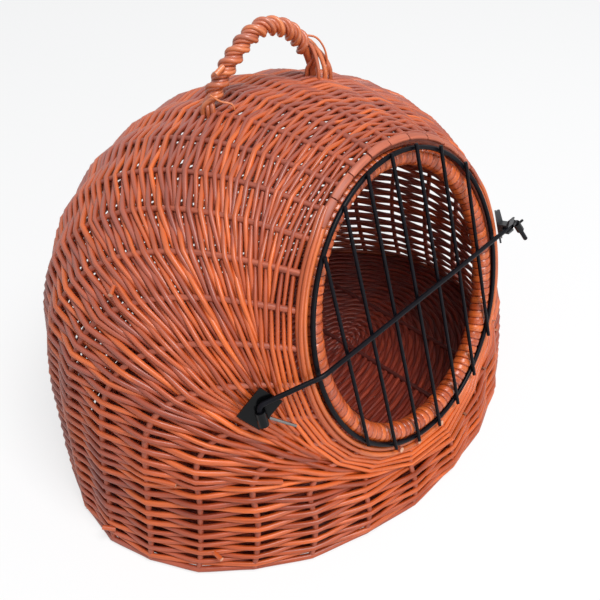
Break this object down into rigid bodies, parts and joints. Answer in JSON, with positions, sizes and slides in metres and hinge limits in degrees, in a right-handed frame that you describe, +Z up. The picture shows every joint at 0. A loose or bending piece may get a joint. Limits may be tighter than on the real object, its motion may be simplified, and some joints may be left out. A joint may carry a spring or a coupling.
{
  "type": "wicker pet carrier",
  "caption": "Domed woven willow pet carrier with a round barred wire door in its leaning mouth, a cross rod that latches it, and a roped handle on top.",
  "frame": {"origin": "centre of the oval base, on the surface that the carrier stands on", "axes": "+X across the front, to the right of someone facing the door; -Y is the front, where the door is; +Z up"},
  "size_m": [0.4984, 0.393, 0.3622],
  "materials": {
    "willow": "satin stained peeled willow",
    "dark_willow": "satin stained peeled willow, darker",
    "wrap_willow": "glossy split willow skein",
    "coated_wire": "glossy black coating",
    "black_plastic": "gloss",
    "bare_steel": "bare"
  },
  "bodies": {
    "basket": {"woven_floor": "willow", "base_stick_1": "dark_willow", "base_stick_2": "dark_willow", "base_stick_3": "dark_willow", "base_stick_4": "dark_willow", "base_stick_5": "dark_willow", "foot_band": "dark_willow", "lower_wall": "willow", "dome_wall": "willow", "stake_01": "dark_willow", "stake_02": "dark_willow", "stake_03": "dark_willow", "stake_04": "dark_willow", "stake_05": "dark_willow", "stake_06": "dark_willow", "stake_07": "dark_willow", "stake_08": "dark_willow", "stake_09": "dark_willow", "stake_10": "dark_willow", "stake_11": "dark_willow", "stake_12": "dark_willow", "stake_13": "dark_willow", "stake_14": "dark_willow", "stake_15": "dark_willow", "stake_16": "dark_willow", "stake_17": "dark_willow", "stake_18": "dark_willow", "stake_19": "dark_willow", "stake_20": "dark_willow", "stake_21": "dark_willow", "stake_22": "dark_willow", "stake_23": "dark_willow", "stake_24": "dark_willow", "stake_25": "dark_willow", "stake_26": "dark_willow", "stake_27": "dark_willow", "stake_28": "dark_willow", "mouth_border": "willow", "rim_hoop": "dark_willow", "rim_wrap": "wrap_willow", "handle_bow": "willow", "handle_wrap_1": "wrap_willow", "handle_wrap_2": "wrap_willow", "handle_side_rod": "willow", "hinge_clip": "black_plastic", "hinge_clip_pin": "bare_steel", "latch_clip": "black_plastic", "latch_clip_rivet": "bare_steel"},
    "grille_door": {"door_ring": "coated_wire", "door_bar_1": "coated_wire", "door_bar_2": "coated_wire", "door_bar_3": "coated_wire", "door_bar_4": "coated_wire", "door_bar_5": "coated_wire", "door_bar_6": "coated_wire", "door_bar_7": "coated_wire", "cross_rod": "coated_wire", "rod_sleeve": "black_plastic", "hook_sleeve": "black_plastic"}
  },
  "joints": [
    {"name": "door_swing", "type": "hinge", "parent": "basket", "child": "grille_door", "pos_m": [-0.15926, -0.11082, 0.16395], "axis": [0, -0.3007, -0.9537], "range_deg": [0, 100]}
  ]
}
